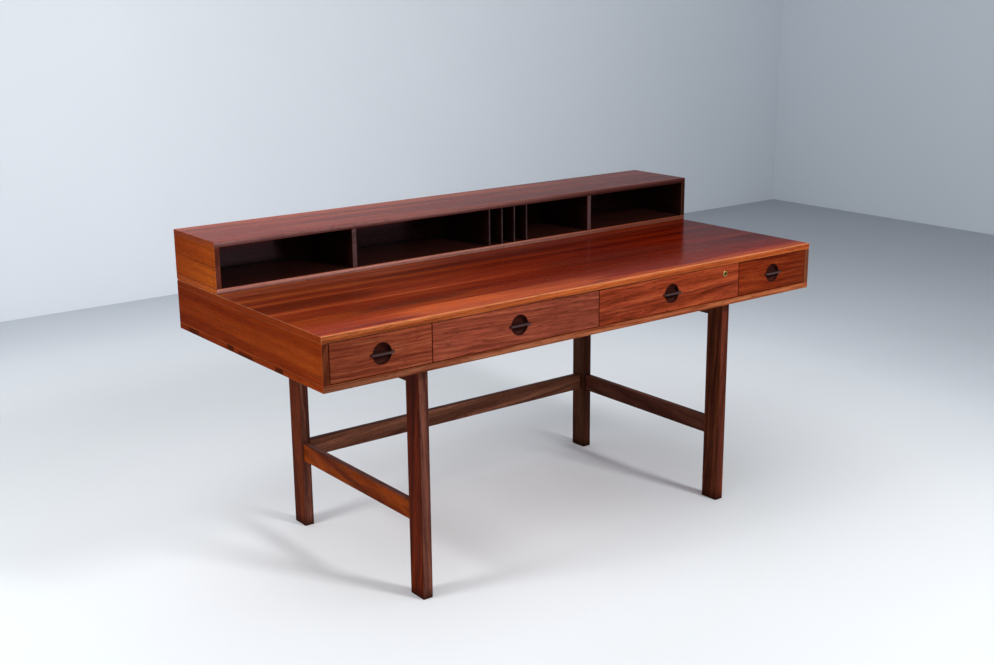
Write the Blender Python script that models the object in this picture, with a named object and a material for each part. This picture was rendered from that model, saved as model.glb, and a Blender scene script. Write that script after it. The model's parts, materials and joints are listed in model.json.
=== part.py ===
# Partners desk: a shallow case with a row of drawers on a framed base, and a letter hutch
# that flips over the rear edge, so that it opens towards whoever sits on the other side.
# Metres, +Z up, floor at z = 0, front towards -Y. The origin is under the middle of the whole box.

import math

import bmesh
import bpy
from mathutils import Vector

# Overall sizes
DESK_W = 1.620            # width of the case and of the hutch
DESK_D = 0.736            # depth of the case
CASE_Z = 0.600            # floor to the underside of the case
CASE_H = 0.1305           # underside of the case to the desk top
HUTCH_D = 0.231           # front to back
HUTCH_H = 0.1322          # underside to top

# Case boards
BOARD_T = 0.0165          # top, bottom and ends
BACK_T = 0.012
BACK_INSET = 0.002        # rear panels lie this far inside the rear edges
PARTITION_T = 0.014

# Hutch boards
HUTCH_T = 0.014           # top, bottom, ends and the two thick dividers
HUTCH_BACK_T = 0.008
END_BAY_W = 0.3795        # clear width of the bay at each end
LETTER_BAY_W = 0.0396     # clear width of one letter slot
LETTER_T = 0.005          # thin divider between letter slots
LETTER_BAYS = 3
RIGHT_BAY_W = 0.2300      # clear width between the letter slots and the right thick divider
DIVIDER_SETBACK = 0.001   # divider edges behind the hutch's front edges

# Base frame
LEG_W = 0.028             # leg section along X
LEG_D = 0.056             # leg section along Y
LEG_END_INSET = 0.2805    # end of the case to the outer face of a leg
LEG_FRONT_INSET = 0.043   # front of the case to the front face of a front leg
LEG_REAR_INSET = 0.053    # rear of the case to the rear face of a rear leg
RAIL_T = 0.017
RAIL_H = 0.050
STRETCHER_Z = 0.1935      # floor to the underside of the low stretchers
TENON_L = 0.016
TENON_T = 0.008
TENON_SHOULDER = 0.009    # rail's top or bottom edge to its tenon

# Drawers
NARROW_FRONT_W = 0.2735   # front of each outer drawer; the inner ones share what is left
FRONT_T = 0.020
FRONT_SIDE_GAP = 0.0025   # between neighbouring fronts, and to the end boards
FRONT_TOP_GAP = 0.002     # above and below the fronts
BOX_L = 0.500             # drawer sides, front to back
BOX_SIDE_T = 0.010
BOX_TOP_ROOM = 0.013      # drawer sides to the underside of the desk top
BOX_BACK_T = 0.010
BOX_BOTTOM_T = 0.005
BOX_BOTTOM_LIFT = 0.008   # underside of the sides to the underside of the bottom
GROOVE_DEPTH = 0.004      # how far the bottom enters each side
BOX_SIDE_GAP = 0.0006     # drawer box to partition or end board
PARTITION_SETBACK = 0.0015  # drawer front to the partition behind it

# Drawer pulls: a round recess with a bar across it
RECESS_R = 0.0255
RECESS_DEPTH = 0.013
RECESS_WALL = 0.005       # straight part of the recess wall
PULL_L = 0.064
PULL_T = 0.005
PULL_PROUD = 0.008        # bar's front edge before the drawer face
PULL_SEAT = 0.009         # depth of the bar's seat in the drawer face
PULL_NOSE_R = 0.007       # rounding of the bar's front corners
PULL_EASE = 0.0012

# Drawer lock
LOCKED_DRAWER = 3         # counted from the left
LOCK_SIDE_DIST = 0.0545   # drawer front's right edge to the lock's axis
LOCK_TOP_DIST = 0.0215    # drawer front's top edge to the lock's axis
LOCK_RIM_R = 0.0085
LOCK_RIM_T = 0.0018       # rim's height on the drawer face
LOCK_CASE_R = 0.0070
LOCK_CASE_BEHIND = 0.004  # case behind the drawer front
LOCK_PLUG_R = 0.0045
LOCK_PLUG_SUNK = 0.0004   # plug's face behind the rim's face
KEYWAY_W = 0.0014
KEYWAY_H = 0.0050
KEYWAY_DEPTH = 0.004
CAM_T = 0.0030
CAM_W = 0.0080
CAM_CATCH = 0.0050        # how far the turned cam enters the desk top
CAM_ROOM = 0.0008         # cam to the walls of its catch

# Hinges of the hutch
HINGE_L = 0.090
HINGE_END_DIST = 0.240    # end of the case to the middle of a hinge
LEAF_W = 0.024            # rear edge to the front edge of a leaf
LEAF_T = 0.0015
LEAF_SUNK = 0.0001        # leaf's face below the wood's face
BARREL_R = 0.0028
BARREL_ROOM = 0.00035     # barrel to the eased edges and to the other leaf
PIN_R = 0.0014
PIN_HEAD_R = 0.0024
PIN_HEAD_T = 0.0010
KNUCKLES = 5
PIVOT_OUT = 0.0003        # hinge axis behind the rear face of the case

# Clearances and edges
JOINT_GAP = 0.0003        # between pieces that are glued, seated or rest on each other
HUTCH_GAP = 0.0003        # hutch to desk top
EDGE_EASE = 0.0008        # broken edges of the boards
LEG_EASE = 0.0020
BRASS_EASE = 0.0003
EASE_STEPS = 2            # facets of a rounded edge
CUT_OVER = 0.004          # how far a cutter reaches past the face it starts from
ROUND_STEPS = 40
PIN_STEPS = 24
ARC_STEPS = 6
MERGE_DIST = 0.000001
SMOOTH_ANGLE = math.radians(35)

# Finishes: linear colour, roughness, metallic
ROSEWOOD_TOP = ((0.290, 0.055, 0.018), 0.30, 0.0)
ROSEWOOD_SIDE = ((0.215, 0.048, 0.012), 0.34, 0.0)
ROSEWOOD_FRONT = ((0.195, 0.042, 0.022), 0.36, 0.0)
ROSEWOOD_DARK = ((0.062, 0.018, 0.010), 0.40, 0.0)
ROSEWOOD_INNER = ((0.020, 0.010, 0.007), 0.50, 0.0)
DRAWER_OAK = ((0.420, 0.260, 0.120), 0.55, 0.0)
BRASS = ((0.620, 0.420, 0.150), 0.28, 1.0)

# Heights
case_top = CASE_Z + CASE_H
bay_low = CASE_Z + BOARD_T
bay_high = case_top - BOARD_T
hutch_low = case_top + HUTCH_GAP
hutch_high = hutch_low + HUTCH_H

# Depths: the pulls and the hinge barrels stand out of the case, and the whole is centred
rear_reach = BARREL_R + PIVOT_OUT
front_y = PULL_PROUD - (DESK_D + PULL_PROUD + rear_reach) / 2
rear_y = front_y + DESK_D
hutch_front_y = rear_y - HUTCH_D
front_back_y = front_y + FRONT_T
box_front_y = front_back_y + JOINT_GAP
box_rear_y = box_front_y + BOX_L

# Widths
half_w = DESK_W / 2
case_in = half_w - BOARD_T
hutch_in = half_w - HUTCH_T
drawer_joint = case_in - FRONT_SIDE_GAP - NARROW_FRONT_W - FRONT_SIDE_GAP / 2

# Hinge axis: level with the middle of the gap under the hutch, so that the flipped hutch's
# underside comes flush with the desk top. The rear edges are eased to clear the barrels.
pivot_y = rear_y + PIVOT_OUT
pivot_z = case_top + HUTCH_GAP / 2
rear_ease = math.sqrt(2) * (BARREL_R + BARREL_ROOM) - PIVOT_OUT - HUTCH_GAP / 2


def clear_scene():
    for old in list(bpy.data.objects):
        bpy.data.objects.remove(old)


def hang(obj, place, carrier):
    # Put an object at a place in the desk's frame, under the empty that carries it, if any
    obj.location = place
    obj.parent = carrier
    while carrier:
        obj.location -= carrier.location
        carrier = carrier.parent
    bpy.context.scene.collection.objects.link(obj)


def pivot(name, place, carrier=None):
    # An empty on a joint's axis, which carries the pieces that move
    empty = bpy.data.objects.new(name, None)
    hang(empty, place, carrier)
    return empty


def finish(obj, look):
    colour, roughness, metallic = look
    material = bpy.data.materials.new(obj.name)
    material.use_nodes = True
    shader = material.node_tree.nodes["Principled BSDF"]
    shader.inputs["Base Color"].default_value = (*colour, 1.0)
    shader.inputs["Roughness"].default_value = roughness
    shader.inputs["Metallic"].default_value = metallic
    obj.data.materials.append(material)


def add_object(name, bm, place, look=None, carrier=None):
    # Without a look the object is a cutter or a tool body, which is hidden
    bmesh.ops.recalc_face_normals(bm, faces=bm.faces[:])
    mesh = bpy.data.meshes.new(name)
    bm.to_mesh(mesh)
    bm.free()
    obj = bpy.data.objects.new(name, mesh)
    hang(obj, place, carrier)
    if look:
        finish(obj, look)
    else:
        obj.hide_render = True
        obj.display_type = "WIRE"
    return obj


def smooth(obj):
    obj.data.shade_smooth()
    obj.data.set_sharp_from_angle(angle=SMOOTH_ANGLE)


def ease_edges(bm, edges, width, segments=1):
    bmesh.ops.bevel(bm, geom=edges, offset=width, segments=segments, profile=0.5, affect="EDGES")


def block(size):
    bm = bmesh.new()
    bmesh.ops.create_cube(bm, size=1.0)
    bmesh.ops.scale(bm, vec=size, verts=bm.verts)
    return bm


def board(name, low, high, look=None, carrier=None, ease=EDGE_EASE, segments=1, rear_edge=0):
    # A board between two corners. rear_edge is 1 or -1 where its upper or lower rear edge
    # is eased to clear the hinge barrels.
    size = Vector(high) - Vector(low)
    bm = block(size)
    if rear_edge:
        edge = [e for e in bm.edges if all(v.co.y > 0 and v.co.z * rear_edge > 0 for v in e.verts)]
        ease_edges(bm, edge, rear_ease)
    if ease:
        ease_edges(bm, bm.edges[:], ease, segments)
    obj = add_object(name, bm, (Vector(low) + Vector(high)) / 2, look, carrier)
    if segments > 1:
        smooth(obj)
    return obj


def cutter(name, low, high, carrier=None):
    return board(name, low, high, None, carrier, ease=0)


def turned(name, profile, place, steps, look=None, carrier=None):
    # A solid of revolution about a line along Y, from (radius, distance along Y) points
    bm = bmesh.new()
    ring = [bm.verts.new((radius, along, 0.0)) for radius, along in profile]
    edges = [bm.edges.new((ring[i - 1], ring[i])) for i in range(len(ring))]
    bmesh.ops.spin(bm, geom=ring + edges, cent=(0, 0, 0), axis=(0, 1, 0), angle=math.tau,
                   steps=steps, use_merge=True)
    bmesh.ops.remove_doubles(bm, verts=bm.verts, dist=MERGE_DIST)
    loose = [e for e in bm.edges if not e.link_faces]
    bmesh.ops.delete(bm, geom=loose, context="EDGES")
    obj = add_object(name, bm, place, look, carrier)
    smooth(obj)
    return obj


def prism(name, outline, normal, reach, place, look=None, carrier=None, nose_ease=0.0):
    # An outline of 3-D points, extruded by reach along normal and centred on place. The edges
    # that lie before place are rounded where nose_ease is given.
    bm = bmesh.new()
    half = Vector(normal) * reach / 2
    base = bm.faces.new([bm.verts.new(Vector(point) - half) for point in outline])
    swept = bmesh.ops.extrude_face_region(bm, geom=[base])
    moved = [part for part in swept["geom"] if isinstance(part, bmesh.types.BMVert)]
    bmesh.ops.translate(bm, vec=half * 2, verts=moved)
    if nose_ease:
        nose = [e for e in bm.edges if all(v.co.y < 0.0 for v in e.verts)]
        ease_edges(bm, [e for e in nose if e.calc_face_angle() > SMOOTH_ANGLE], nose_ease, EASE_STEPS)
    obj = add_object(name, bm, place, look, carrier)
    smooth(obj)
    return obj


def combine(obj, tool, operation):
    modifier = obj.modifiers.new(operation.lower(), "BOOLEAN")
    modifier.operation = operation
    modifier.solver = "EXACT"
    modifier.object = tool


def arc(centre, radius, start, end, steps):
    # Points on an arc, as (first, second) pairs
    angles = [start + (end - start) * i / steps for i in range(steps + 1)]
    return [(centre[0] + radius * math.cos(a), centre[1] + radius * math.sin(a)) for a in angles]


def make_case():
    top = board("top_panel", (-half_w, front_y, bay_high), (half_w, rear_y, case_top),
                ROSEWOOD_TOP, rear_edge=1)
    board("bottom_panel", (-half_w, front_y, CASE_Z), (half_w, rear_y, bay_low), ROSEWOOD_SIDE)
    low = bay_low + JOINT_GAP
    high = bay_high - JOINT_GAP
    board("left_end_panel", (-half_w, front_y, low), (-case_in, rear_y, high), ROSEWOOD_SIDE)
    board("right_end_panel", (case_in, front_y, low), (half_w, rear_y, high), ROSEWOOD_SIDE)

    back_rear_y = rear_y - BACK_INSET
    back_front_y = back_rear_y - BACK_T
    back_x = case_in - JOINT_GAP
    board("back_panel", (-back_x, back_front_y, low), (back_x, back_rear_y, high), ROSEWOOD_SIDE)

    partition_front_y = front_back_y + PARTITION_SETBACK
    partition_rear_y = back_front_y - JOINT_GAP
    for name, x in (("left", -drawer_joint), ("middle", 0.0), ("right", drawer_joint)):
        board(f"{name}_partition", (x - PARTITION_T / 2, partition_front_y, low),
              (x + PARTITION_T / 2, partition_rear_y, high), ROSEWOOD_DARK)
    return top


def leg_places():
    leg_x = half_w - LEG_END_INSET - LEG_W / 2
    front_leg_y = front_y + LEG_FRONT_INSET + LEG_D / 2
    rear_leg_y = rear_y - LEG_REAR_INSET - LEG_D / 2
    return leg_x, front_leg_y, rear_leg_y


def make_base():
    leg_x, front_leg_y, rear_leg_y = leg_places()
    leg_high = CASE_Z - JOINT_GAP
    legs = {}
    for side, x in (("left", -leg_x), ("right", leg_x)):
        for end, y in (("front", front_leg_y), ("rear", rear_leg_y)):
            legs[side, end] = board(f"{end}_{side}_leg", (x - LEG_W / 2, y - LEG_D / 2, 0.0),
                                    (x + LEG_W / 2, y + LEG_D / 2, leg_high),
                                    ROSEWOOD_DARK, ease=LEG_EASE, segments=EASE_STEPS)

    top_rail_z = leg_high - RAIL_H / 2
    stretcher_z = STRETCHER_Z + RAIL_H / 2
    rail_y = (front_leg_y + rear_leg_y) / 2
    rail_l = rear_leg_y - front_leg_y - LEG_D
    for side, x in (("left", -leg_x), ("right", leg_x)):
        joined = [legs[side, "front"], legs[side, "rear"]]
        tenoned_rail(f"{side}_top_rail", (x, rail_y, top_rail_z), rail_l, "Y", joined)
        tenoned_rail(f"{side}_stretcher", (x, rail_y, stretcher_z), rail_l, "Y", joined)
    joined = [legs["left", "rear"], legs["right", "rear"]]
    rear_l = 2 * leg_x - LEG_W
    tenoned_rail("rear_stretcher", (0.0, rear_leg_y, stretcher_z), rear_l, "X", joined)


def tenoned_rail(name, centre, span, along, legs):
    # A rail between two legs, with a tenon at each end that enters a mortise in the leg
    def between(length, thick, high):
        half = Vector((length, thick, high) if along == "X" else (thick, length, high)) / 2
        return Vector(centre) - half, Vector(centre) + half

    tenon_h = RAIL_H - 2 * TENON_SHOULDER
    tenon_span = span + 2 * TENON_L
    rail = board(name, *between(span - 2 * JOINT_GAP, RAIL_T, RAIL_H), ROSEWOOD_DARK)
    tenon = cutter(f"{name}_tenon", *between(tenon_span, TENON_T, tenon_h))
    combine(rail, tenon, "UNION")
    room = 2 * JOINT_GAP
    mortise = cutter(f"{name}_mortise", *between(tenon_span + room, TENON_T + room, tenon_h + room))
    for leg in legs:
        combine(leg, mortise, "DIFFERENCE")


def drawer_bays():
    # For each drawer from the left: at either side, where its front and its box end
    stops = (-case_in, -drawer_joint, 0.0, drawer_joint, case_in)
    last = len(stops) - 1

    def edge(i, inward):
        at_end = i in (0, last)
        front = stops[i] + inward * (FRONT_SIDE_GAP if at_end else FRONT_SIDE_GAP / 2)
        box = stops[i] + inward * (BOX_SIDE_GAP if at_end else BOX_SIDE_GAP + PARTITION_T / 2)
        return front, box

    return [(edge(i, 1), edge(i + 1, -1)) for i in range(last)]


def make_drawer(number, left, right):
    name = f"drawer_{number}"
    front_left, box_left = left
    front_right, box_right = right
    front_low = bay_low + FRONT_TOP_GAP
    front_high = bay_high - FRONT_TOP_GAP
    middle = ((front_left + front_right) / 2, front_y, (front_low + front_high) / 2)
    slide = pivot(f"{name}_slide", middle)

    front = board(f"{name}_front", (front_left, front_y, front_low),
                  (front_right, front_back_y, front_high), ROSEWOOD_FRONT, slide)
    make_pull(name, front, middle, slide)

    side_low = bay_low + JOINT_GAP
    side_high = bay_high - BOX_TOP_ROOM
    bottom_low = side_low + BOX_BOTTOM_LIFT
    bottom_high = bottom_low + BOX_BOTTOM_T
    in_left = box_left + BOX_SIDE_T
    in_right = box_right - BOX_SIDE_T
    sides = (board(f"{name}_left_side", (box_left, box_front_y, side_low),
                   (in_left, box_rear_y, side_high), DRAWER_OAK, slide),
             board(f"{name}_right_side", (in_right, box_front_y, side_low),
                   (box_right, box_rear_y, side_high), DRAWER_OAK, slide))

    # The bottom lies in a groove in each side and runs through under the back
    bottom_left = in_left - GROOVE_DEPTH
    bottom_right = in_right + GROOVE_DEPTH
    groove = cutter(f"{name}_groove",
                    (bottom_left - JOINT_GAP, box_front_y - CUT_OVER, bottom_low - JOINT_GAP),
                    (bottom_right + JOINT_GAP, box_rear_y + CUT_OVER, bottom_high + JOINT_GAP), slide)
    for side in sides:
        combine(side, groove, "DIFFERENCE")
    board(f"{name}_bottom", (bottom_left, box_front_y, bottom_low),
          (bottom_right, box_rear_y, bottom_high), DRAWER_OAK, slide, ease=0)
    board(f"{name}_back", (in_left + JOINT_GAP, box_rear_y - BOX_BACK_T, bottom_high + JOINT_GAP),
          (in_right - JOINT_GAP, box_rear_y, side_high), DRAWER_OAK, slide)
    return front, slide, front_right, front_high


def make_pull(name, front, middle, slide):
    # The recess has a straight rim and a bowl behind it
    bowl_depth = RECESS_DEPTH - RECESS_WALL
    turns = [math.pi / 2 * i / ARC_STEPS for i in range(ARC_STEPS)]
    profile = [(0.0, -CUT_OVER), (RECESS_R, -CUT_OVER)]
    profile += [(RECESS_R * math.cos(a), RECESS_WALL + bowl_depth * math.sin(a)) for a in turns]
    profile.append((0.0, RECESS_DEPTH))
    recess = turned(f"{name}_recess", profile, middle, ROUND_STEPS, carrier=slide)
    combine(front, recess, "DIFFERENCE")

    half_l = PULL_L / 2
    room = Vector((half_l + JOINT_GAP, 0.0, PULL_T / 2 + JOINT_GAP))
    seat_low = Vector(middle) - room - Vector((0.0, CUT_OVER, 0.0))
    seat_high = Vector(middle) + room + Vector((0.0, PULL_SEAT + JOINT_GAP, 0.0))
    combine(front, cutter(f"{name}_seat", seat_low, seat_high, slide), "DIFFERENCE")

    nose_x = half_l - PULL_NOSE_R
    nose_y = PULL_NOSE_R - PULL_PROUD
    outline = [(half_l, PULL_SEAT), (-half_l, PULL_SEAT)]
    outline += arc((-nose_x, nose_y), PULL_NOSE_R, math.pi, math.pi * 1.5, ARC_STEPS)
    outline += arc((nose_x, nose_y), PULL_NOSE_R, math.pi * 1.5, math.tau, ARC_STEPS)
    prism(f"{name}_pull", [(x, y, 0.0) for x, y in outline], (0, 0, 1), PULL_T, middle,
          ROSEWOOD_DARK, slide, PULL_EASE)


def make_lock(front, slide, front_right, front_high, top):
    axis = Vector((front_right - LOCK_SIDE_DIST, front_y, front_high - LOCK_TOP_DIST))
    turn = pivot("lock_turn", axis, slide)
    case_rear = FRONT_T + LOCK_CASE_BEHIND
    bore_r = LOCK_PLUG_R + JOINT_GAP
    case_bore = turned("lock_bore", [(0.0, -CUT_OVER), (LOCK_CASE_R + JOINT_GAP, -CUT_OVER),
                                     (LOCK_CASE_R + JOINT_GAP, FRONT_T + CUT_OVER),
                                     (0.0, FRONT_T + CUT_OVER)], axis, ROUND_STEPS, carrier=slide)
    combine(front, case_bore, "DIFFERENCE")

    rim_in = -JOINT_GAP
    rim_out = rim_in - LOCK_RIM_T
    turned("lock_case", [(bore_r, rim_out), (LOCK_RIM_R - BRASS_EASE, rim_out),
                         (LOCK_RIM_R, rim_out + BRASS_EASE), (LOCK_RIM_R, rim_in),
                         (LOCK_CASE_R, rim_in), (LOCK_CASE_R, case_rear), (bore_r, case_rear)],
           axis, ROUND_STEPS, BRASS, slide)

    # The plug carries the cam, which points sideways when unlocked and up when locked
    plug_face = rim_out + LOCK_PLUG_SUNK
    cam_front = case_rear + JOINT_GAP
    cam_rear = cam_front + CAM_T
    plug = turned("lock_plug", [(0.0, plug_face), (LOCK_PLUG_R, plug_face),
                                (LOCK_PLUG_R, cam_rear), (0.0, cam_rear)],
                  axis, ROUND_STEPS, BRASS, turn)
    keyway = cutter("lock_keyway", axis + Vector((-KEYWAY_W / 2, plug_face - CUT_OVER, -KEYWAY_H / 2)),
                    axis + Vector((KEYWAY_W / 2, plug_face + KEYWAY_DEPTH, KEYWAY_H / 2)), turn)
    combine(plug, keyway, "DIFFERENCE")

    cam_reach = LOCK_TOP_DIST + FRONT_TOP_GAP + CAM_CATCH
    half = CAM_W / 2
    tip = arc((half - cam_reach, 0.0), half, math.pi / 2, math.pi * 1.5, ARC_STEPS)
    heel = arc((0.0, 0.0), half, -math.pi / 2, math.pi / 2, ARC_STEPS)
    cam = prism("lock_cam", [(x, 0.0, z) for x, z in tip + heel], (0, 1, 0), CAM_T,
                axis + Vector((0.0, (cam_front + cam_rear) / 2, 0.0)), carrier=turn)
    combine(plug, cam, "UNION")

    # The catch in the desk top takes in the tip's whole sweep, as the cam swings up
    sweep = math.sqrt(cam_reach ** 2 - (cam_reach - CAM_CATCH) ** 2) + half
    catch = cutter("lock_catch",
                   axis + Vector((-sweep - CAM_ROOM, cam_front - CAM_ROOM, bay_high - CUT_OVER - axis.z)),
                   axis + Vector((half + CAM_ROOM, cam_rear + CAM_ROOM, cam_reach + CAM_ROOM)))
    combine(top, catch, "DIFFERENCE")


def make_hutch():
    flip = pivot("hutch_hinge", (0.0, pivot_y, pivot_z))
    bottom = board("hutch_bottom", (-half_w, hutch_front_y, hutch_low),
                   (half_w, rear_y, hutch_low + HUTCH_T), ROSEWOOD_SIDE, flip, rear_edge=-1)
    board("hutch_top", (-half_w, hutch_front_y, hutch_high - HUTCH_T),
          (half_w, rear_y, hutch_high), ROSEWOOD_TOP, flip)
    low = hutch_low + HUTCH_T + JOINT_GAP
    high = hutch_high - HUTCH_T - JOINT_GAP
    board("hutch_left_end", (-half_w, hutch_front_y, low), (-hutch_in, rear_y, high), ROSEWOOD_SIDE, flip)
    board("hutch_right_end", (hutch_in, hutch_front_y, low), (half_w, rear_y, high), ROSEWOOD_SIDE, flip)

    back_rear_y = rear_y - BACK_INSET
    back_front_y = back_rear_y - HUTCH_BACK_T
    back_x = hutch_in - JOINT_GAP
    board("hutch_back", (-back_x, back_front_y, low), (back_x, back_rear_y, high), ROSEWOOD_INNER, flip)

    def divider(name, left, thick):
        board(name, (left, hutch_front_y + DIVIDER_SETBACK, low),
              (left + thick, back_front_y - JOINT_GAP, high), ROSEWOOD_INNER, flip)

    right_divider = hutch_in - END_BAY_W - HUTCH_T
    divider("hutch_left_divider", END_BAY_W - hutch_in, HUTCH_T)
    divider("hutch_right_divider", right_divider, HUTCH_T)
    pitch = LETTER_BAY_W + LETTER_T
    for i in range(LETTER_BAYS + 1):
        left = right_divider - RIGHT_BAY_W - LETTER_T - (LETTER_BAYS - i) * pitch
        divider(f"letter_divider_{i + 1}", left, LETTER_T)
    return bottom, flip


def make_hinge(side, x, top, hutch_bottom, flip):
    # A butt hinge with one leaf let into the desk top and one into the hutch's underside
    axis = Vector((x, pivot_y, pivot_z))
    leaf_front = rear_y - LEAF_W - pivot_y
    leaf_rear = -BARREL_R - BARREL_ROOM
    leaf_near = HUTCH_GAP / 2 + LEAF_SUNK
    leaf_far = leaf_near + LEAF_T
    knuckle_l = HINGE_L / KNUCKLES
    bore = pin_rod(f"{side}_hinge_bore", axis, PIN_R + JOINT_GAP, HINGE_L + 2 * CUT_OVER)
    for leaf_name, wood, way, first, carrier in (("lower", top, -1, 0, None),
                                                 ("upper", hutch_bottom, 1, 1, flip)):
        name = f"{side}_hinge_{leaf_name}_leaf"
        near, far = sorted((leaf_near * way, leaf_far * way))
        leaf = board(name, axis + Vector((-HINGE_L / 2, leaf_front, near)),
                     axis + Vector((HINGE_L / 2, leaf_rear, far)), BRASS, carrier, ease=0)
        for i in range(first, KNUCKLES, 2):
            middle = axis + Vector(((i + 0.5) * knuckle_l - HINGE_L / 2, 0.0, 0.0))
            tool = knuckle(f"{name}_knuckle_{i}", middle, knuckle_l - JOINT_GAP, leaf_rear,
                           leaf_near, leaf_far, way, carrier)
            combine(leaf, tool, "UNION")
        combine(leaf, bore, "DIFFERENCE")

        room = JOINT_GAP
        deep_near, deep_far = sorted(((leaf_near - CUT_OVER) * way, (leaf_far + room) * way))
        mortise = cutter(f"{name}_mortise",
                         axis + Vector((-HINGE_L / 2 - room, leaf_front - room, deep_near)),
                         axis + Vector((HINGE_L / 2 + room, CUT_OVER, deep_far)), carrier)
        combine(wood, mortise, "DIFFERENCE")

    pin = pin_rod(f"{side}_hinge_pin", axis, PIN_R, HINGE_L + JOINT_GAP, BRASS)
    for end in (-1, 1):
        head_x = end * (HINGE_L / 2 + JOINT_GAP / 2 + PIN_HEAD_T / 2)
        head = pin_rod(f"{side}_hinge_pin_head_{end}", axis + Vector((head_x, 0.0, 0.0)),
                       PIN_HEAD_R, PIN_HEAD_T + JOINT_GAP)
        combine(pin, head, "UNION")


def pin_rod(name, middle, radius, length, look=None):
    circle = arc((0.0, 0.0), radius, 0.0, math.tau, PIN_STEPS)[:-1]
    return prism(name, [(0.0, y, z) for y, z in circle], (1, 0, 0), length, middle, look)


def knuckle(name, middle, length, leaf_rear, near, far, way, carrier):
    # A rolled knuckle: a full barrel with a tongue that runs into the leaf's edge
    tongue = leaf_rear - BARREL_ROOM
    start = math.pi + math.asin(far / BARREL_R)
    end = math.pi * 3 + math.asin(near / BARREL_R)
    barrel = arc((0.0, 0.0), BARREL_R, start, end, PIN_STEPS)
    outline = [(tongue, -near), (tongue, -far)] + barrel
    return prism(name, [(0.0, y, -z * way) for y, z in outline], (1, 0, 0), length, middle, None, carrier)


def make_desk():
    clear_scene()
    top = make_case()
    make_base()
    for number, (left, right) in enumerate(drawer_bays(), 1):
        front, slide, front_right, front_high = make_drawer(number, left, right)
        if number == LOCKED_DRAWER:
            make_lock(front, slide, front_right, front_high, top)
    hutch_bottom, flip = make_hutch()
    hinge_x = half_w - HINGE_END_DIST
    make_hinge("left", -hinge_x, top, hutch_bottom, flip)
    make_hinge("right", hinge_x, top, hutch_bottom, flip)


make_desk()
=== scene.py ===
import json
import math

import bmesh
import bpy
from mathutils import Euler, Matrix, Vector


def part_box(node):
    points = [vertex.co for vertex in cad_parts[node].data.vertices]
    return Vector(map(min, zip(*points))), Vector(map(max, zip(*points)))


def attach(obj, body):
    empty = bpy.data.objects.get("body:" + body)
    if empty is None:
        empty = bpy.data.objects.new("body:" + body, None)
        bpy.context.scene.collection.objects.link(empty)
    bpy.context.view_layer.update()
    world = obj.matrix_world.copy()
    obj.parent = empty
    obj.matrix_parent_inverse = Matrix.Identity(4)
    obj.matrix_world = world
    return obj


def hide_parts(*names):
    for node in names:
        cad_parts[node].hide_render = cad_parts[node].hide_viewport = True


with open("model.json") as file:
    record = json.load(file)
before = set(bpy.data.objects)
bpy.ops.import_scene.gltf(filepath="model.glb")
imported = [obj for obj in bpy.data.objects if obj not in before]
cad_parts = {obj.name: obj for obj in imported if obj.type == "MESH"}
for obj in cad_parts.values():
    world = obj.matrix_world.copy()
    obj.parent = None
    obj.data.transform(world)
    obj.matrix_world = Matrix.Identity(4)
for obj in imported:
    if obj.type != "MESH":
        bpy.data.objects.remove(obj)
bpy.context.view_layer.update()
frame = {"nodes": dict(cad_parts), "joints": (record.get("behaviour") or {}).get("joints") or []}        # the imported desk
print("desk loaded:", len(frame["nodes"]), "nodes")


# helpers

def linearColour(hexValue):
    parts = [int(hexValue[i:i + 2], 16) / 255 for i in (1, 3, 5)]
    return [p / 12.92 if p <= 0.04045 else ((p + 0.055) / 1.055) ** 2.4 for p in parts] + [1.0]


# adds one node; a socket takes a value, another node (its first output) or an output
def addNode(owner, kind, settings=None, sockets=None):
    tree = owner.node_tree
    node = tree.nodes.new("ShaderNode" + kind)
    for key, value in (settings or {}).items():
        if key == "stops":
            ramp = node.color_ramp.elements
            ramp[0].position, ramp[0].color = value[0][0], linearColour(value[0][1])
            ramp[1].position, ramp[1].color = value[-1][0], linearColour(value[-1][1])
            for place, colour in value[1:-1]:
                ramp.new(place).color = linearColour(colour)
        else:
            setattr(node, key, value)
    for key, value in (sockets or {}).items():
        if isinstance(value, bpy.types.Node):
            value = value.outputs[0]
        if isinstance(value, bpy.types.NodeSocket):
            tree.links.new(value, node.inputs[key])
        else:
            node.inputs[key].default_value = value
    return node


def calc(owner, operation, *values):
    return addNode(owner, "Math", {"operation": operation}, dict(enumerate(values)))


def blend(owner, share, first, second, how="MIX"):
    return addNode(owner, "Mix", {"data_type": "RGBA", "blend_type": how},
                   {0: share, 6: first, 7: second}).outputs[2]


# a value taken from one range to another, with soft ends where asked
def spread(owner, value, begin, end, low=0.0, high=1.0, soft=False):
    return addNode(owner, "MapRange", {"interpolation_type": "SMOOTHSTEP" if soft else "LINEAR"},
                   {"Value": value, "From Min": begin, "From Max": end, "To Min": low, "To Max": high})


# noise with a size of its own along each axis, in metres
def longNoise(owner, place, sizes, detail, leaf=(0.0, 0.0, 0.0), roughness=0.5):
    scaled = addNode(owner, "Mapping", None,
                     {"Vector": place, "Location": leaf, "Scale": [1 / size for size in sizes]})
    return addNode(owner, "TexNoise", None,
                   {"Vector": scaled, "Scale": 1.0, "Detail": detail, "Roughness": roughness})


def newFinish(name):
    mat = bpy.data.materials.new(name)
    mat.use_nodes = True
    return mat, mat.node_tree.nodes["Principled BSDF"], addNode(mat, "TexCoord")


def objectMode():
    if bpy.context.mode != "OBJECT":
        bpy.ops.object.mode_set(mode="OBJECT")


def useOnly(obj):
    objectMode()
    bpy.ops.object.select_all(action="DESELECT")
    obj.select_set(True)
    bpy.context.view_layer.objects.active = obj


def editOnly(obj, kind):
    useOnly(obj)
    bpy.ops.object.mode_set(mode="EDIT")
    bpy.ops.mesh.select_mode(type=kind)
    bpy.ops.mesh.select_all(action="DESELECT")


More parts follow.
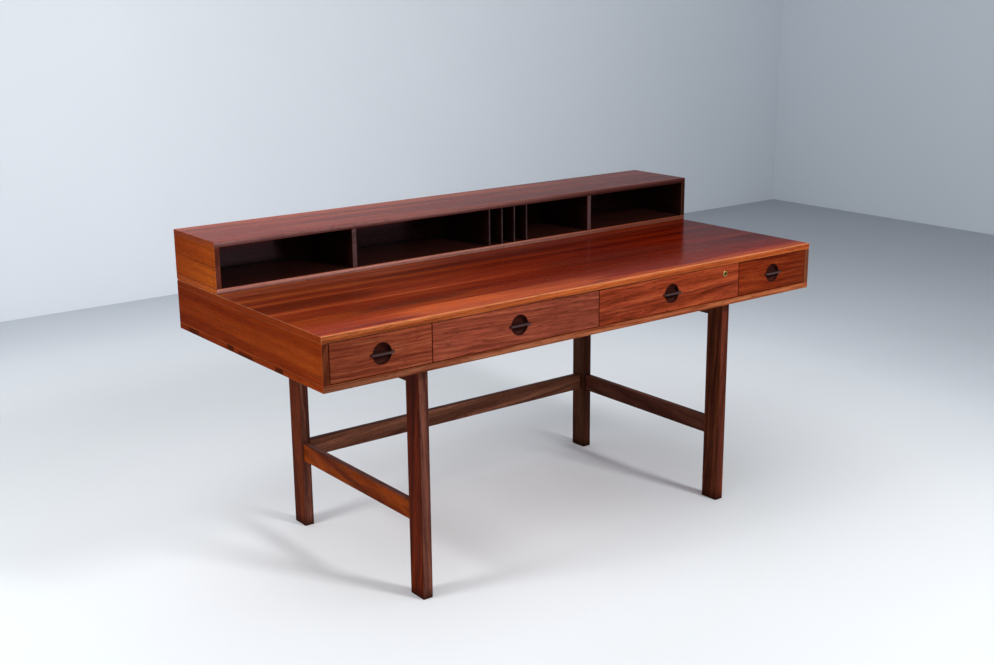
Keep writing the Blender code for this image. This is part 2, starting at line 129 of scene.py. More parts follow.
# selects edges or faces of the piece in edit mode, by a test on each
def pick(obj, kind, test):
    bpy.ops.mesh.select_mode(type="FACE" if kind == "faces" else "EDGE")
    bpy.ops.mesh.select_all(action="DESELECT")
    mesh = bmesh.from_edit_mesh(obj.data)
    for part in getattr(mesh, kind):
        part.select_set(test(part))
    mesh.select_flush_mode()
    bmesh.update_edit_mesh(obj.data)


# a primitive that was just added becomes a piece with its place in its mesh
def settle(name):
    obj = bpy.context.active_object
    obj.name = obj.data.name = name
    useOnly(obj)
    bpy.ops.object.transform_apply(location=True, rotation=True, scale=True)
    return obj


def addBlock(name, low, high):
    objectMode()
    bpy.ops.object.select_all(action="DESELECT")
    low, high = Vector(low), Vector(high)
    bpy.ops.mesh.primitive_cube_add(size=1, location=(low + high) / 2)
    bpy.context.active_object.scale = high - low
    return settle(name)


# a round rod along the depth, from one y to another
def addRod(name, middle, radius, nearY, farY, steps):
    objectMode()
    bpy.ops.object.select_all(action="DESELECT")
    bpy.ops.mesh.primitive_cylinder_add(vertices=steps, radius=radius, depth=farY - nearY,
                                        location=(middle.x, (nearY + farY) / 2, middle.z),
                                        rotation=(math.pi / 2, 0, 0))
    return settle(name)


def combine(obj, tool, how):
    useOnly(obj)
    work = obj.modifiers.new("combine", "BOOLEAN")
    work.operation = how
    work.solver = "EXACT"
    work.object = tool
    bpy.ops.object.modifier_apply(modifier=work.name)
    bpy.data.objects.remove(tool)


def copyPiece(obj, name, move):
    twin = obj.copy()
    twin.data = obj.data.copy()
    twin.name = twin.data.name = name
    bpy.context.scene.collection.objects.link(twin)
    twin.data.transform(move)
    return twin


smoothAngle = math.radians(32)
tiny = 1e-5       # metres, when places are compared
square = 0.99     # part of the normal of a face that is square to an axis


# the last steps of each new piece: shading, finish, body, and hiding the nodes it replaces
def finishPiece(obj, finishes, body, replaced=()):
    useOnly(obj)
    bpy.ops.object.shade_smooth_by_angle(angle=smoothAngle)
    for finish in finishes:
        obj.data.materials.append(finish)
    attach(obj, body)
    if replaced:
        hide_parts(*replaced)


# wood

# Board cut from a tapered log: growth rings, ink lines, broken streaks, fibre and pores.
# Lengths are metres. grain names the axes along the grain, across it and through the board.
woodBase = {
    "wood": "rosewood",
    "grain": "xyz",
    "leaf": (0.0, 0.0, 0.0),     # place in the log, so that no two boards are alike
    "heart": (0.45, -0.30),      # heart of the log from the origin, across and through
    "taper": 0.004,              # rings rise this much per metre
    "bandWidth": 0.030,          # colour bands
    "bandShare": 0.45,           # how much of the figure is bands, the rest is streaks
    "lineWidth": 0.0048,         # ink lines
    "streakLength": 0.42,
    "streakWidth": 0.0075,
    "streakDepth": 0.03,
    "wander": 0.0035,            # how far lines stray sideways
    "wanderLength": 0.30,
    "wanderWidth": 0.055,
    "tones": [(0.25, "#4f1d12"), (0.42, "#7a3319"), (0.56, "#96461f"), (0.75, "#b3612f")],
    "shades": [],                # tint along an axis, from one place to another
    "patches": [],               # streaks: per axis where it begins, is full, stops being full, ends
    "faces": [],                 # faces along an axis (sign 0: both ways) with tones of their own
    "ink": "#2a100c",
    "inkAmount": 0.45,
    "fibreAmount": 0.16,
    "fibreLength": 0.05,
    "fibreWidth": 0.0012,
    "poreAmount": 0.50,
    "poreLength": 0.020,
    "poreWidth": 0.0012,         # real ones are about 0.15 mm wide, drawn wider so that they show
    "edgeTint": "#c98a5a",           # rubbed edges
    "edgeTintAmount": 0.20,
    "roughness": 0.34,
    "roughSpread": (-0.03, 0.05),     # more or less by the fibre
    "poreRough": 0.14,           # pores are duller than the lacquer round them
    "ior": 1.5,
    "specular": 0.015,
    "lacquer": "#ffffff",        # tint of what the lacquer mirrors
    "bump": 0.22,
    "bumpDepth": 0.0002,
}
# where each thing begins and is full
woodLimits = {
    "facing": (0.80, 0.90),      # part of the normal along an axis
    "eased": (0.99, 0.93),       # largest part of the normal, on the eased edges
    "noise": (0.3, 0.7),
    "ink": (0.29, 0.42),         # line times streak
    "pore": (0.58, 0.70),
    "patch": (1.15, 1.75),       # patch plus streaks
    "patchStreaks": 1.6,         # how much streaks break up a patch
}


# a face with tones of its own; more: grain, shades, patches, dull
def faceOf(axis, sign, *tones, **more):
    return {"axis": axis, "sign": sign, "tones": list(tones), **more}


def shadeOf(axis, start, end, *stops):
    return {"axis": axis, "from": start, "to": end, "stops": list(stops)}


def patchOf(colour, amount, **spans):
    return {"colour": colour, "amount": amount, **spans}


def woodFinish(name, changes):
    look = {**woodBase, **changes}
    limits = woodLimits
    leaf = look["leaf"]
    ink = linearColour(look["ink"])
    mat, shader, where = newFinish(look["wood"] + "_" + name)
    spot = dict(zip("xyz", addNode(mat, "SeparateXYZ", None, {0: where.outputs["Object"]}).outputs))
    facing = dict(zip("xyz", addNode(mat, "SeparateXYZ", None, {0: where.outputs["Normal"]}).outputs))

    # the grain's own axes, turned on faces that show the board's other way
    grain = addNode(mat, "CombineXYZ", None, {i: spot[a] for i, a in enumerate(look["grain"])}).outputs[0]
    masks = []
    for face in look["faces"]:
        way = calc(mat, "MULTIPLY" if face["sign"] else "ABSOLUTE", facing[face["axis"]], face["sign"])
        masks.append(spread(mat, way, *limits["facing"], soft=True))
        if "grain" in face:
            turned = addNode(mat, "CombineXYZ", None, {i: spot[a] for i, a in enumerate(face["grain"])})
            grain = addNode(mat, "Mix", {"data_type": "VECTOR"},
                            {0: masks[-1], 4: grain, 5: turned}).outputs[1]
    runAlong, runAcross, runDeep = addNode(mat, "SeparateXYZ", None, {0: grain}).outputs

    # the lines stray a little sideways
    straySizes = (look["wanderLength"], look["wanderWidth"], look["wanderWidth"])
    stray = longNoise(mat, grain, straySizes, detail=2.0, leaf=leaf)
    across = calc(mat, "MULTIPLY_ADD", calc(mat, "SUBTRACT", stray, 0.5), 2 * look["wander"], runAcross)

    # distance from the heart of the tapered log
    heartAt = addNode(mat, "CombineXYZ", None, {0: calc(mat, "SUBTRACT", across, look["heart"][0]),
                                                1: calc(mat, "SUBTRACT", runDeep, look["heart"][1])})
    heartDist = addNode(mat, "VectorMath", {"operation": "LENGTH"}, {0: heartAt}).outputs["Value"]
    ring = calc(mat, "MULTIPLY_ADD", runAlong, -look["taper"], heartDist)

    # bands and lines follow the rings, streaks run along the grain
    seed = sum(leaf)
    bandAt = calc(mat, "MULTIPLY_ADD", ring, 1 / look["bandWidth"], seed)
    band = addNode(mat, "TexNoise", {"noise_dimensions": "1D"},
                   {"W": bandAt, "Scale": 1.0, "Detail": 3.0, "Roughness": 0.55})
    lineAt = calc(mat, "MULTIPLY_ADD", ring, 1 / look["lineWidth"], seed * 3)
    line = addNode(mat, "TexNoise", {"noise_dimensions": "1D"},
                   {"W": lineAt, "Scale": 1.0, "Detail": 1.0, "Roughness": 0.5})
    streakAt = addNode(mat, "CombineXYZ", None, {0: runAlong, 1: ring, 2: runDeep})
    streakSizes = (look["streakLength"], look["streakWidth"], look["streakDepth"])
    streak = longNoise(mat, streakAt, streakSizes, detail=4.0, leaf=leaf, roughness=0.6)
    tonePlace = calc(mat, "MULTIPLY_ADD", calc(mat, "SUBTRACT", band, streak), look["bandShare"], streak)

    # tone of the wood: the board's own, then that of the other faces
    colour = None
    for face, mask in zip([look] + look["faces"], [None] + masks):
        tone = addNode(mat, "ValToRGB", {"stops": face["tones"]}, {0: tonePlace}).outputs[0]
        for shade in face.get("shades", []):
            place = spread(mat, spot[shade["axis"]], shade["from"], shade["to"])
            tint = addNode(mat, "ValToRGB", {"stops": shade["stops"]}, {0: place})
            tone = blend(mat, 1.0, tone, tint, "MULTIPLY")
        for patch in face.get("patches", []):
            inside = 1.0
            for axis in [a for a in "xyz" if a in patch]:
                begins, full, stops, ends = patch[axis]
                value = across if axis == face.get("grain", look["grain"])[1] else spot[axis]
                for low, high in ((begins, full), (ends, stops)):
                    inside = calc(mat, "MULTIPLY", inside, spread(mat, value, low, high, soft=True))
            ragged = calc(mat, "MULTIPLY_ADD", streak, limits["patchStreaks"], inside)
            amount = spread(mat, ragged, *limits["patch"], high=patch["amount"], soft=True)
            tone = blend(mat, amount, tone, linearColour(patch["colour"]))
        colour = blend(mat, mask, colour, tone) if mask else tone

    # ink lines where line and streak meet
    inkField = calc(mat, "MULTIPLY", line, streak)
    inkMask = spread(mat, inkField, *limits["ink"], high=look["inkAmount"], soft=True)
    colour = blend(mat, inkMask, colour, ink)

    # fibre
    fibreSizes = (look["fibreLength"], look["fibreWidth"], look["fibreWidth"])
    fibre = longNoise(mat, grain, fibreSizes, detail=2.0, leaf=leaf)
    fibreTone = spread(mat, fibre, *limits["noise"], 1 - look["fibreAmount"], 1 + look["fibreAmount"])
    colour = blend(mat, 1.0, colour, fibreTone, "MULTIPLY")

    # pores follow the lines
    poreRun = addNode(mat, "CombineXYZ", None, {0: runAlong, 1: across, 2: runDeep})
    poreSizes = (look["poreLength"], look["poreWidth"], look["poreWidth"])
    poreNoise = longNoise(mat, poreRun, poreSizes, detail=1.0, leaf=leaf)
    pore = spread(mat, poreNoise, *limits["pore"], soft=True)
    colour = blend(mat, calc(mat, "MULTIPLY", pore, look["poreAmount"]), colour, ink)

    # edge tint: rubbed wear on most boards, a painted highlight on the top, painted shade on the drawer
    # fronts; the eased edges are the faces that look along no axis
    level = addNode(mat, "VectorMath", {"operation": "ABSOLUTE"}, {0: where.outputs["Normal"]})
    levels = addNode(mat, "SeparateXYZ", None, {0: level}).outputs
    most = calc(mat, "MAXIMUM", calc(mat, "MAXIMUM", levels[0], levels[1]), levels[2])
    edge = spread(mat, most, *limits["eased"], high=look["edgeTintAmount"])
    colour = blend(mat, calc(mat, "MULTIPLY", edge, stray), colour, linearColour(look["edgeTint"]))

    # gloss and relief
    rough = spread(mat, fibre, *limits["noise"],
                   *[look["roughness"] + more for more in look["roughSpread"]])
    for face, mask in zip(look["faces"], masks):
        if "dull" in face:
            rough = calc(mat, "MULTIPLY_ADD", mask, face["dull"], rough)
    rough = calc(mat, "MULTIPLY_ADD", pore, look["poreRough"], rough)
    hollow = calc(mat, "MULTIPLY_ADD", pore, -1.0, fibre)
    relief = addNode(mat, "Bump", None,
                     {"Strength": look["bump"], "Distance": look["bumpDepth"], "Height": hollow})

    links = mat.node_tree.links
    links.new(colour, shader.inputs["Base Color"])
    links.new(rough.outputs[0], shader.inputs["Roughness"])
    links.new(relief.outputs[0], shader.inputs["Normal"])
    shader.inputs["IOR"].default_value = look["ior"]
    shader.inputs["Specular IOR Level"].default_value = look["specular"]
    shader.inputs["Specular Tint"].default_value = linearColour(look["lacquer"])
    return mat


# Rosewood, satin lacquered: veneer on the case and hutch with solid lippings, solid wood in the
# base. Red-brown to orange with purple-brown streaks. The gloss is low, so that the tops keep
# their red at a low angle; only the hutch's back mirrors the room.
lipTones = [(0.36, "#8d3f1f"), (0.47, "#bb6030"), (0.55, "#ce733e"), (0.65, "#e38d57")]
underLipTones = [(0.38, "#6e341f"), (0.48, "#9d573a"), (0.55, "#af6c4a"), (0.64, "#ca8c68")]
# painted light on the top's lip: darker to the left, lighter along its upper edge and darker along its lower
# edge
lipShades = [shadeOf("x", -0.81, 0.81, (0.0, "#dcdce0"), (0.40, "#ffffff"), (1.0, "#fff6ea")),
             shadeOf("z", 0.714, 0.7305, (0.0, "#e4e0dc"), (0.25, "#f8f6f4"), (0.60, "#ffffff"),
                     (1.0, "#ffffff"))]
lipHighlight = [patchOf("#e6ae88", 0.22, z=(0.7270, 0.7290, 0.7310, 0.7320))]     # painted highlight along the arris
# painted light on the bottom's lip: darker to the left, with painted shade along its lower edge and a little
# along its upper edge
underLipShades = [shadeOf("x", -0.81, 0.81, (0.0, "#cdd2dc"), (0.40, "#f6f6fa"), (0.70, "#fff6ea"),
                          (1.0, "#fff2dc")),
                  shadeOf("z", 0.600, 0.6165, (0.0, "#b8aca4"), (0.30, "#f0eae4"), (0.70, "#ffffff"),
                          (1.0, "#f0e8e2"))]
endTones = [(0.30, "#6d2407"), (0.46, "#81310b"), (0.58, "#8b3a0f"), (0.72, "#984413")]
hutchEndTones = [(0.25, "#803109"), (0.42, "#904110"), (0.58, "#9e4d14"), (0.78, "#ad581d")]
# the insides of case and hutch are near black, partly painted shade
innerTones = [(0.25, "#190a08"), (0.45, "#26110d"), (0.60, "#301712"), (0.78, "#40221b")]

# the ends: a lighter lipping along the front edge, darker towards the rear
endFace = {
    "axis": "x", "sign": 0, "grain": "yzx", "tones": endTones,
    "shades": [shadeOf("y", -0.366, 0.3705, (0.0, "#fff6ec"), (0.012, "#fff6ec"), (0.0135, "#a8948a"),
                       (0.016, "#fcf8f4"), (0.30, "#e8dedc"), (1.0, "#cab6b4"))],
}
hutchEndFace = {
    "axis": "x", "sign": 0, "grain": "yzx", "tones": hutchEndTones,
    "shades": [shadeOf("y", 0.139, 0.3705, (0.0, "#fff6ea"), (0.050, "#fff6ea"), (0.055, "#b09884"),
                       (0.065, "#fffaf4"), (0.35, "#ecdedc"), (1.0, "#d4bcb8")),
               shadeOf("z", 0.733, 0.863, (0.0, "#ffffff"), (0.80, "#ffffff"), (0.92, "#dccac0"),
                       (1.0, "#ccb6ac"))],
    "patches": [patchOf("#3a1808", 0.65, y=(0.10, 0.12, 0.22, 0.33), z=(0.7965, 0.7985, 0.7995, 0.8015)),
                patchOf("#3a1808", 0.55, y=(0.10, 0.12, 0.18, 0.27), z=(0.7905, 0.7920, 0.7930, 0.7945)),
                patchOf("#3a1808", 0.45, y=(0.10, 0.12, 0.20, 0.26), z=(0.8040, 0.8055, 0.8062, 0.8075))],
}
topLook = {
    "leaf": (3.1, 7.7, 1.3),
    "streakLength": 0.26,
    "streakWidth": 0.0055,
    "poreWidth": 0.0016,
    "poreLength": 0.030,
    "tones": [(0.31, "#5f2218"), (0.44, "#8d361f"), (0.55, "#a54824"), (0.69, "#c66037")],
    # painted light: the front strip is painted bright orange as a sheen, the top darker towards the rear and
    # the right, and paler again by the hutch as a painted reflection
    "shades": [shadeOf("y", -0.366, 0.140, (0.0, "#ffc730"), (0.17, "#e2c04e"), (0.235, "#baa45c"),
                       (0.5, "#cdc6cd"), (0.84, "#afafa9"), (1.0, "#e5ffff")),
               shadeOf("x", -0.81, 0.81, (0.0, "#fffff4"), (0.1, "#f7f2e8"), (0.28, "#f9f4ff"),
                       (0.47, "#dbb2a3"), (0.65, "#bd96b2"), (0.81, "#c9825c"), (1.0, "#b56e52"))],
    "patches": [patchOf("#471509", 0.72, x=(-0.95, -0.85, -0.62, -0.30), y=(-0.130, -0.105, -0.05, -0.025)),
                patchOf("#4a190d", 0.66, x=(-0.74, -0.55, -0.40, -0.20), y=(-0.256, -0.238, -0.218, -0.20)),
                patchOf("#3f1512", 0.55, x=(-0.65, -0.25, 0.05, 0.35), y=(0.024, 0.045, 0.062, 0.082)),
                patchOf("#3c140e", 0.42, x=(-0.20, 0.15, 0.40, 0.70), y=(-0.190, -0.160, -0.110, -0.080)),
                # painted sheen along the front: two orange streaks, and a dark one that narrows the bright
                # band towards the right
                patchOf("#d4652a", 0.36, x=(-0.70, -0.45, -0.10, 0.25), y=(-0.375, -0.350, -0.290, -0.250)),
                patchOf("#681c08", 0.50, x=(-0.50, -0.05, 0.45, 0.95), y=(-0.340, -0.300, -0.20, -0.14)),
                patchOf("#c25012", 0.45, x=(-0.10, 0.20, 0.95, 1.00), y=(-0.45, -0.38, -0.345, -0.310)),
                patchOf("#de8648", 0.50, y=(-0.380, -0.375, -0.3625, -0.3560))],     # painted highlight along the front edge
    "faces": [faceOf("y", -1, *lipTones, shades=lipShades, patches=lipHighlight, dull=0.25),
              {**endFace, "dull": 0.45}],
    # painted highlight: the top's eased edges are tinted pale for light catching the arris, besides some
    # rubbed wear
    "edgeTint": "#dca27a",
    "edgeTintAmount": 0.45,
    "roughness": 0.14,
    "specular": 0.014,
    "bump": 0.08,
}
bottomLook = {
    "leaf": (5.2, 1.7, 4.4),
    "tones": endTones,
    "faces": [faceOf("y", -1, *underLipTones, shades=underLipShades),
              {**endFace, "patches": [
                  patchOf("#2c0f05", 0.75, y=(0.250, 0.265, 0.315, 0.330), z=(0.598, 0.603, 0.611, 0.617)),
                  patchOf("#2c0f05", 0.85, y=(0.060, 0.070, 0.095, 0.105), z=(0.598, 0.603, 0.613, 0.618)),
                  patchOf("#2c0f05", 0.75, y=(-0.045, -0.030, 0.035, 0.050), z=(0.597, 0.600, 0.608, 0.613)),
                  patchOf("#2c0f05", 0.85, y=(-0.19, -0.18, -0.15, -0.14), z=(0.598, 0.603, 0.612, 0.618))]}],
    "streakLength": 0.16,
    "streakWidth": 0.0040,
    "poreWidth": 0.0016,
    "poreLength": 0.030,
    "specular": 0.004,
}
endLook = {
    **endFace,
    "leaf": (2.4, 6.1, 9.3),
    "faces": [faceOf("y", -1, (0.25, "#3c190f"), (0.50, "#5c2a18"), (0.78, "#7a3f26"))],
    "streakLength": 0.20,
    "streakWidth": 0.006,
    "inkAmount": 0.22,
    "poreWidth": 0.0018,
    "poreLength": 0.026,
    "poreAmount": 0.42,
    "specular": 0.004,
}
backLook = {"grain": "xzy", "leaf": (8.8, 2.2, 5.1), "tones": endTones, "specular": 0.004}
hutchTopLook = {
    # painted reflection: the mauve tones and the darkening towards the right stand in for the pale wall
    # mirrored by the hutch top; its front edge is painted pale and darker to the right the same way, with
    # painted shade along its lower part
    "leaf": (1.9, 4.2, 6.6),
    "tones": [(0.25, "#4e191c"), (0.42, "#782e23"), (0.56, "#923f2a"), (0.75, "#af5a41")],
    "shades": [shadeOf("x", -0.81, 0.81, (0.0, "#ffffff"), (0.16, "#ffffff"), (0.46, "#d4d0d0"),
                       (0.81, "#b3a8a8"), (1.0, "#a89c9c"))],
    "faces": [faceOf("y", -1, (0.25, "#704540"), (0.50, "#9e716e"), (0.78, "#c59994"), shades=[
                  shadeOf("x", -0.81, 0.81, (0.18, "#ffffff"), (0.50, "#e7dfdc"), (0.81, "#97807e"),
                          (1.0, "#7c6664")),
                  shadeOf("z", 0.849, 0.863, (0.0, "#9a8886"), (0.35, "#b8aaa8"), (0.65, "#ffffff"),
                          (1.0, "#ffffff"))]),
              hutchEndFace,
              faceOf("z", -1, *innerTones)],
    "roughness": 0.20,
    "specular": 0.015,
    "bump": 0.08,
}
hutchBottomLook = {
    "leaf": (6.3, 9.9, 2.8),
    "tones": [(0.31, "#541a0a"), (0.44, "#7a2c0e"), (0.55, "#913a12"), (0.69, "#ae4f1b")],
    "streakLength": 0.26,
    "streakWidth": 0.0055,
    # painted light on the hutch bottom's front edge: darker towards the right, and painted shade along its
    # lower part, in the gap above the desk top
    "faces": [faceOf("y", -1, (0.25, "#94554a"), (0.50, "#bf887c"), (0.78, "#e0b1a0"), shades=[
                  shadeOf("x", -0.81, 0.81, (0.18, "#ffffff"), (0.50, "#e9ebe9"), (0.81, "#b49386"),
                          (1.0, "#a08070")),
                  shadeOf("z", 0.7328, 0.7468, (0.0, "#c4b6b0"), (0.20, "#e2d8d4"), (0.50, "#ffffff"),
                          (1.0, "#ffffff"))]),
              hutchEndFace,
              faceOf("z", 1, *innerTones)],
}
hutchEndLook = {
    **hutchEndFace,
    "leaf": (7.1, 3.3, 2.2),
    "faces": [faceOf("y", -1, (0.25, "#3f1e19"), (0.50, "#5e2e25"), (0.78, "#7b4133")),
              faceOf("x", 1, *innerTones)],
    "inkAmount": 0.35,
    "wander": 0.006,
    "specular": 0.004,
}
innerLook = {
    "grain": "xzy",
    "leaf": (4.4, 8.2, 7.9),
    "tones": innerTones,
    "ink": "#0d0706",
    "edgeTint": "#6a4638",
    "roughness": 0.42,
}
hutchBackLook = {
    **innerLook,
    "faces": [faceOf("y", 1, *endTones)],
    "roughness": 0.12,
    "specular": 1.0,
    "lacquer": "#ffc4d6",
    "bump": 0.03,
}
dividerLook = {
    **innerLook,
    "grain": "yzx",
    "faces": [faceOf("y", -1, (0.25, "#3c2727"), (0.5, "#573e3e"), (0.78, "#6e5454"))],
}
partitionLook = {**innerLook, "grain": "yzx"}
# painted shade where the legs stand on the floor: darker towards the foot
footPaintedShade = [shadeOf("z", 0.0, 0.03, (0.0, "#6e6660"), (0.4, "#c8c2bc"), (1.0, "#ffffff"))]
legLook = {
    "grain": "zxy",
    "leaf": (9.4, 1.1, 3.7),
    "heart": (0.12, 0.10),
    "taper": 0.03,
    "bandWidth": 0.016,
    "streakLength": 0.15,
    "streakWidth": 0.0050,
    "wander": 0.011,
    "wanderLength": 0.20,
    "wanderWidth": 0.040,
    "inkAmount": 0.5,
    "poreWidth": 0.0018,
    "poreLength": 0.024,
    "tones": [(0.25, "#291613"), (0.42, "#502c25"), (0.58, "#724335"), (0.78, "#a36752")],
    "faces": [faceOf("x", 0, (0.30, "#280803"), (0.46, "#491404"), (0.58, "#632108"), (0.72, "#7e320e"),
                     shades=footPaintedShade)],
    "shades": footPaintedShade,
    "roughness": 0.36,
    "edgeTint": "#34190f",
    "edgeTintAmount": 0.5,
}
rearLeftLegLook = {
    **legLook,
    "leaf": (1.7, 4.9, 6.2),
    "faces": [faceOf("x", 0, (0.25, "#2b0c03"), (0.45, "#4e1b07"), (0.60, "#692a0e"), (0.78, "#853c17"),
                     shades=footPaintedShade)],
}
frontRightLegLook = {
    **legLook,
    "leaf": (7.3, 8.6, 0.8),
    "tones": [(0.25, "#250d09"), (0.42, "#4a2117"), (0.58, "#6b3222"), (0.78, "#984d37")],
    "faces": [faceOf("x", 0, (0.33, "#250d07"), (0.47, "#462012"), (0.57, "#602f1b"), (0.70, "#79422a"),
                     shades=footPaintedShade)],
}
rearRightLegLook = {
    **frontRightLegLook,
    "leaf": (3.8, 2.7, 9.6),
    "tones": [(0.25, "#22100d"), (0.42, "#361b14"), (0.58, "#442419"), (0.78, "#583325")],
    "faces": [faceOf("x", 0, (0.25, "#2e160f"), (0.45, "#442518"), (0.60, "#502f1f"), (0.78, "#5c3a28"),
                     shades=footPaintedShade)],
}
sideRailLook = {
    **legLook,
    "grain": "yzx",
    "leaf": (2.9, 5.3, 8.1),
    "faces": [faceOf("x", 0, (0.30, "#421203"), (0.46, "#6e2a03"), (0.58, "#903d06"), (0.72, "#bc5b0c"))],
}
rightRailLook = {
    **sideRailLook,
    "leaf": (9.9, 6.3, 3.2),
    "faces": [faceOf("x", 0, (0.35, "#371a13"), (0.47, "#4b271e"), (0.56, "#573124"), (0.67, "#66402e"))],
}
rearRailLook = {
    **legLook,
    "grain": "xzy",
    "leaf": (6.7, 2.1, 4.9),
    "faces": [faceOf("y", -1, (0.25, "#3e231b"), (0.45, "#6e4433"), (0.60, "#935e48"), (0.78, "#c1836c"))],
}
frontLook = {
    "grain": "xzy",
    "lineWidth": 0.0040,
    "bandWidth": 0.012,
    "bandShare": 0.28,
    "inkAmount": 0.45,
    "streakLength": 0.13,
    "streakWidth": 0.0046,
    "wander": 0.006,
    "wanderLength": 0.14,
    "wanderWidth": 0.035,
    "poreWidth": 0.0020,
    "poreLength": 0.026,
    "poreAmount": 0.50,
    # painted shade: the fronts' eased edges are darkened so that the gaps between the drawers read as shade
    "edgeTint": "#3a160d",
    "edgeTintAmount": 0.9,
    "shades": [shadeOf("x", -0.81, 0.81, (0.04, "#e4e4e4"), (0.15, "#fafafa"), (0.25, "#fbfbfb"),
                       (0.43, "#e7e7e7"), (0.57, "#edeef6"), (0.73, "#f3f1e2"), (0.85, "#ffffff"),
                       (0.96, "#e7e7e7"))],
}
frontLooks = [
    {**frontLook, "leaf": (1.1, 2.3, 3.7), "heart": (0.80, -0.45), "taper": 0.02,
     "tones": [(0.31, "#582116"), (0.44, "#7a3521"), (0.55, "#8e432b"), (0.69, "#a65f3e")]},
    {**frontLook, "leaf": (4.3, 0.7, 8.2), "heart": (0.590, -0.28), "taper": -0.022,
     "tones": [(0.31, "#5c2518"), (0.44, "#7f3a27"), (0.55, "#934532"), (0.69, "#af613f")]},
    {**frontLook, "leaf": (9.2, 5.1, 2.6), "heart": (0.595, -0.26), "taper": 0.014,
     "tones": [(0.35, "#5d1f0e"), (0.45, "#82331a"), (0.54, "#9a3e24"), (0.65, "#b05430")]},
    {**frontLook, "leaf": (6.1, 7.4, 0.9), "heart": (0.50, -0.42), "taper": -0.02,
     "tones": [(0.35, "#4f1406"), (0.45, "#72250d"), (0.54, "#7f2f13"), (0.65, "#96401a")]},
]
# darker than the fronts: partly painted shade in the bowl
recessLook = {
    "grain": "xzy",
    "leaf": (3.3, 3.9, 5.5),
    "tones": [(0.25, "#220f0c"), (0.45, "#381914"), (0.60, "#48211b"), (0.78, "#5e2d25")],
    "edgeTintAmount": 0.0,
    "roughness": 0.40,
}
pullLook = {
    "leaf": (5.9, 6.6, 1.2),
    "tones": [(0.25, "#1c0f0d"), (0.45, "#2d1916"), (0.60, "#3a2420"), (0.78, "#4c332d")],
    # painted highlight: the bar's front face is lighter and cooler than its other faces
    "faces": [faceOf("y", -1, (0.25, "#2e2122"), (0.5, "#48383b"), (0.78, "#635356"))],
    "edgeTint": "#7d6258",
    "roughness": 0.30,
}

# Oak of the drawer boxes, planed and left bare: pale, open pores, no gloss.
oakLook = {
    "wood": "oak",
    "grain": "yzx",
    "leaf": (7.6, 1.4, 2.7),
    "tones": [(0.25, "#a27a4d"), (0.45, "#b9925f"), (0.60, "#c4a06d"), (0.78, "#d2b283")],
    "ink": "#6e4b2a",
    "inkAmount": 0.35,
    "poreAmount": 0.5,
    "edgeTint": "#d9bf95",
    "roughness": 0.58,
    "bump": 0.35,
}
oakBackLook = {**oakLook, "grain": "xzy", "leaf": (2.6, 9.1, 4.3)}
oakBottomLook = {**oakLook, "grain": "xyz", "leaf": (5.5, 3.8, 6.4), "lineWidth": 0.009, "bandWidth": 0.06}


# Brass, turned and left to dull: fine scratches, brown tarnish in clouds.
brassLook = {
    "bright": "#c9a45c", "dull": "#8f6f3a", "cloud": 0.006, "tarnish": (0.42, 0.68),
    "scratch": 0.0006, "scratchRun": 12, "noise": (0.3, 0.7),
    "roughness": 0.24, "roughSpread": (-0.07, 0.12), "bump": 0.12, "bumpDepth": 0.0001,
}


def brassFinish(name, look):
    mat, shader, where = newFinish(name)
    cloud = addNode(mat, "TexNoise", None,
                    {"Vector": where.outputs["Object"], "Scale": 1 / look["cloud"], "Detail": 4.0})
    fine = look["scratch"]
    scratchSizes = (look["scratchRun"] * fine, fine, fine)
    scratch = longNoise(mat, where.outputs["Object"], scratchSizes, detail=3.0)
    dull = spread(mat, cloud, *look["tarnish"], soft=True)
    colour = blend(mat, dull, linearColour(look["bright"]), linearColour(look["dull"]))
    rough = spread(mat, scratch, *look["noise"],
                   *[look["roughness"] + more for more in look["roughSpread"]])
    relief = addNode(mat, "Bump", None,
                     {"Strength": look["bump"], "Distance": look["bumpDepth"], "Height": scratch})
    links = mat.node_tree.links
    links.new(colour, shader.inputs["Base Color"])
    links.new(rough.outputs[0], shader.inputs["Roughness"])
    links.new(relief.outputs[0], shader.inputs["Normal"])
    shader.inputs["Metallic"].default_value = 1.0
    return mat


brass = brassFinish("brass_turned", brassLook)
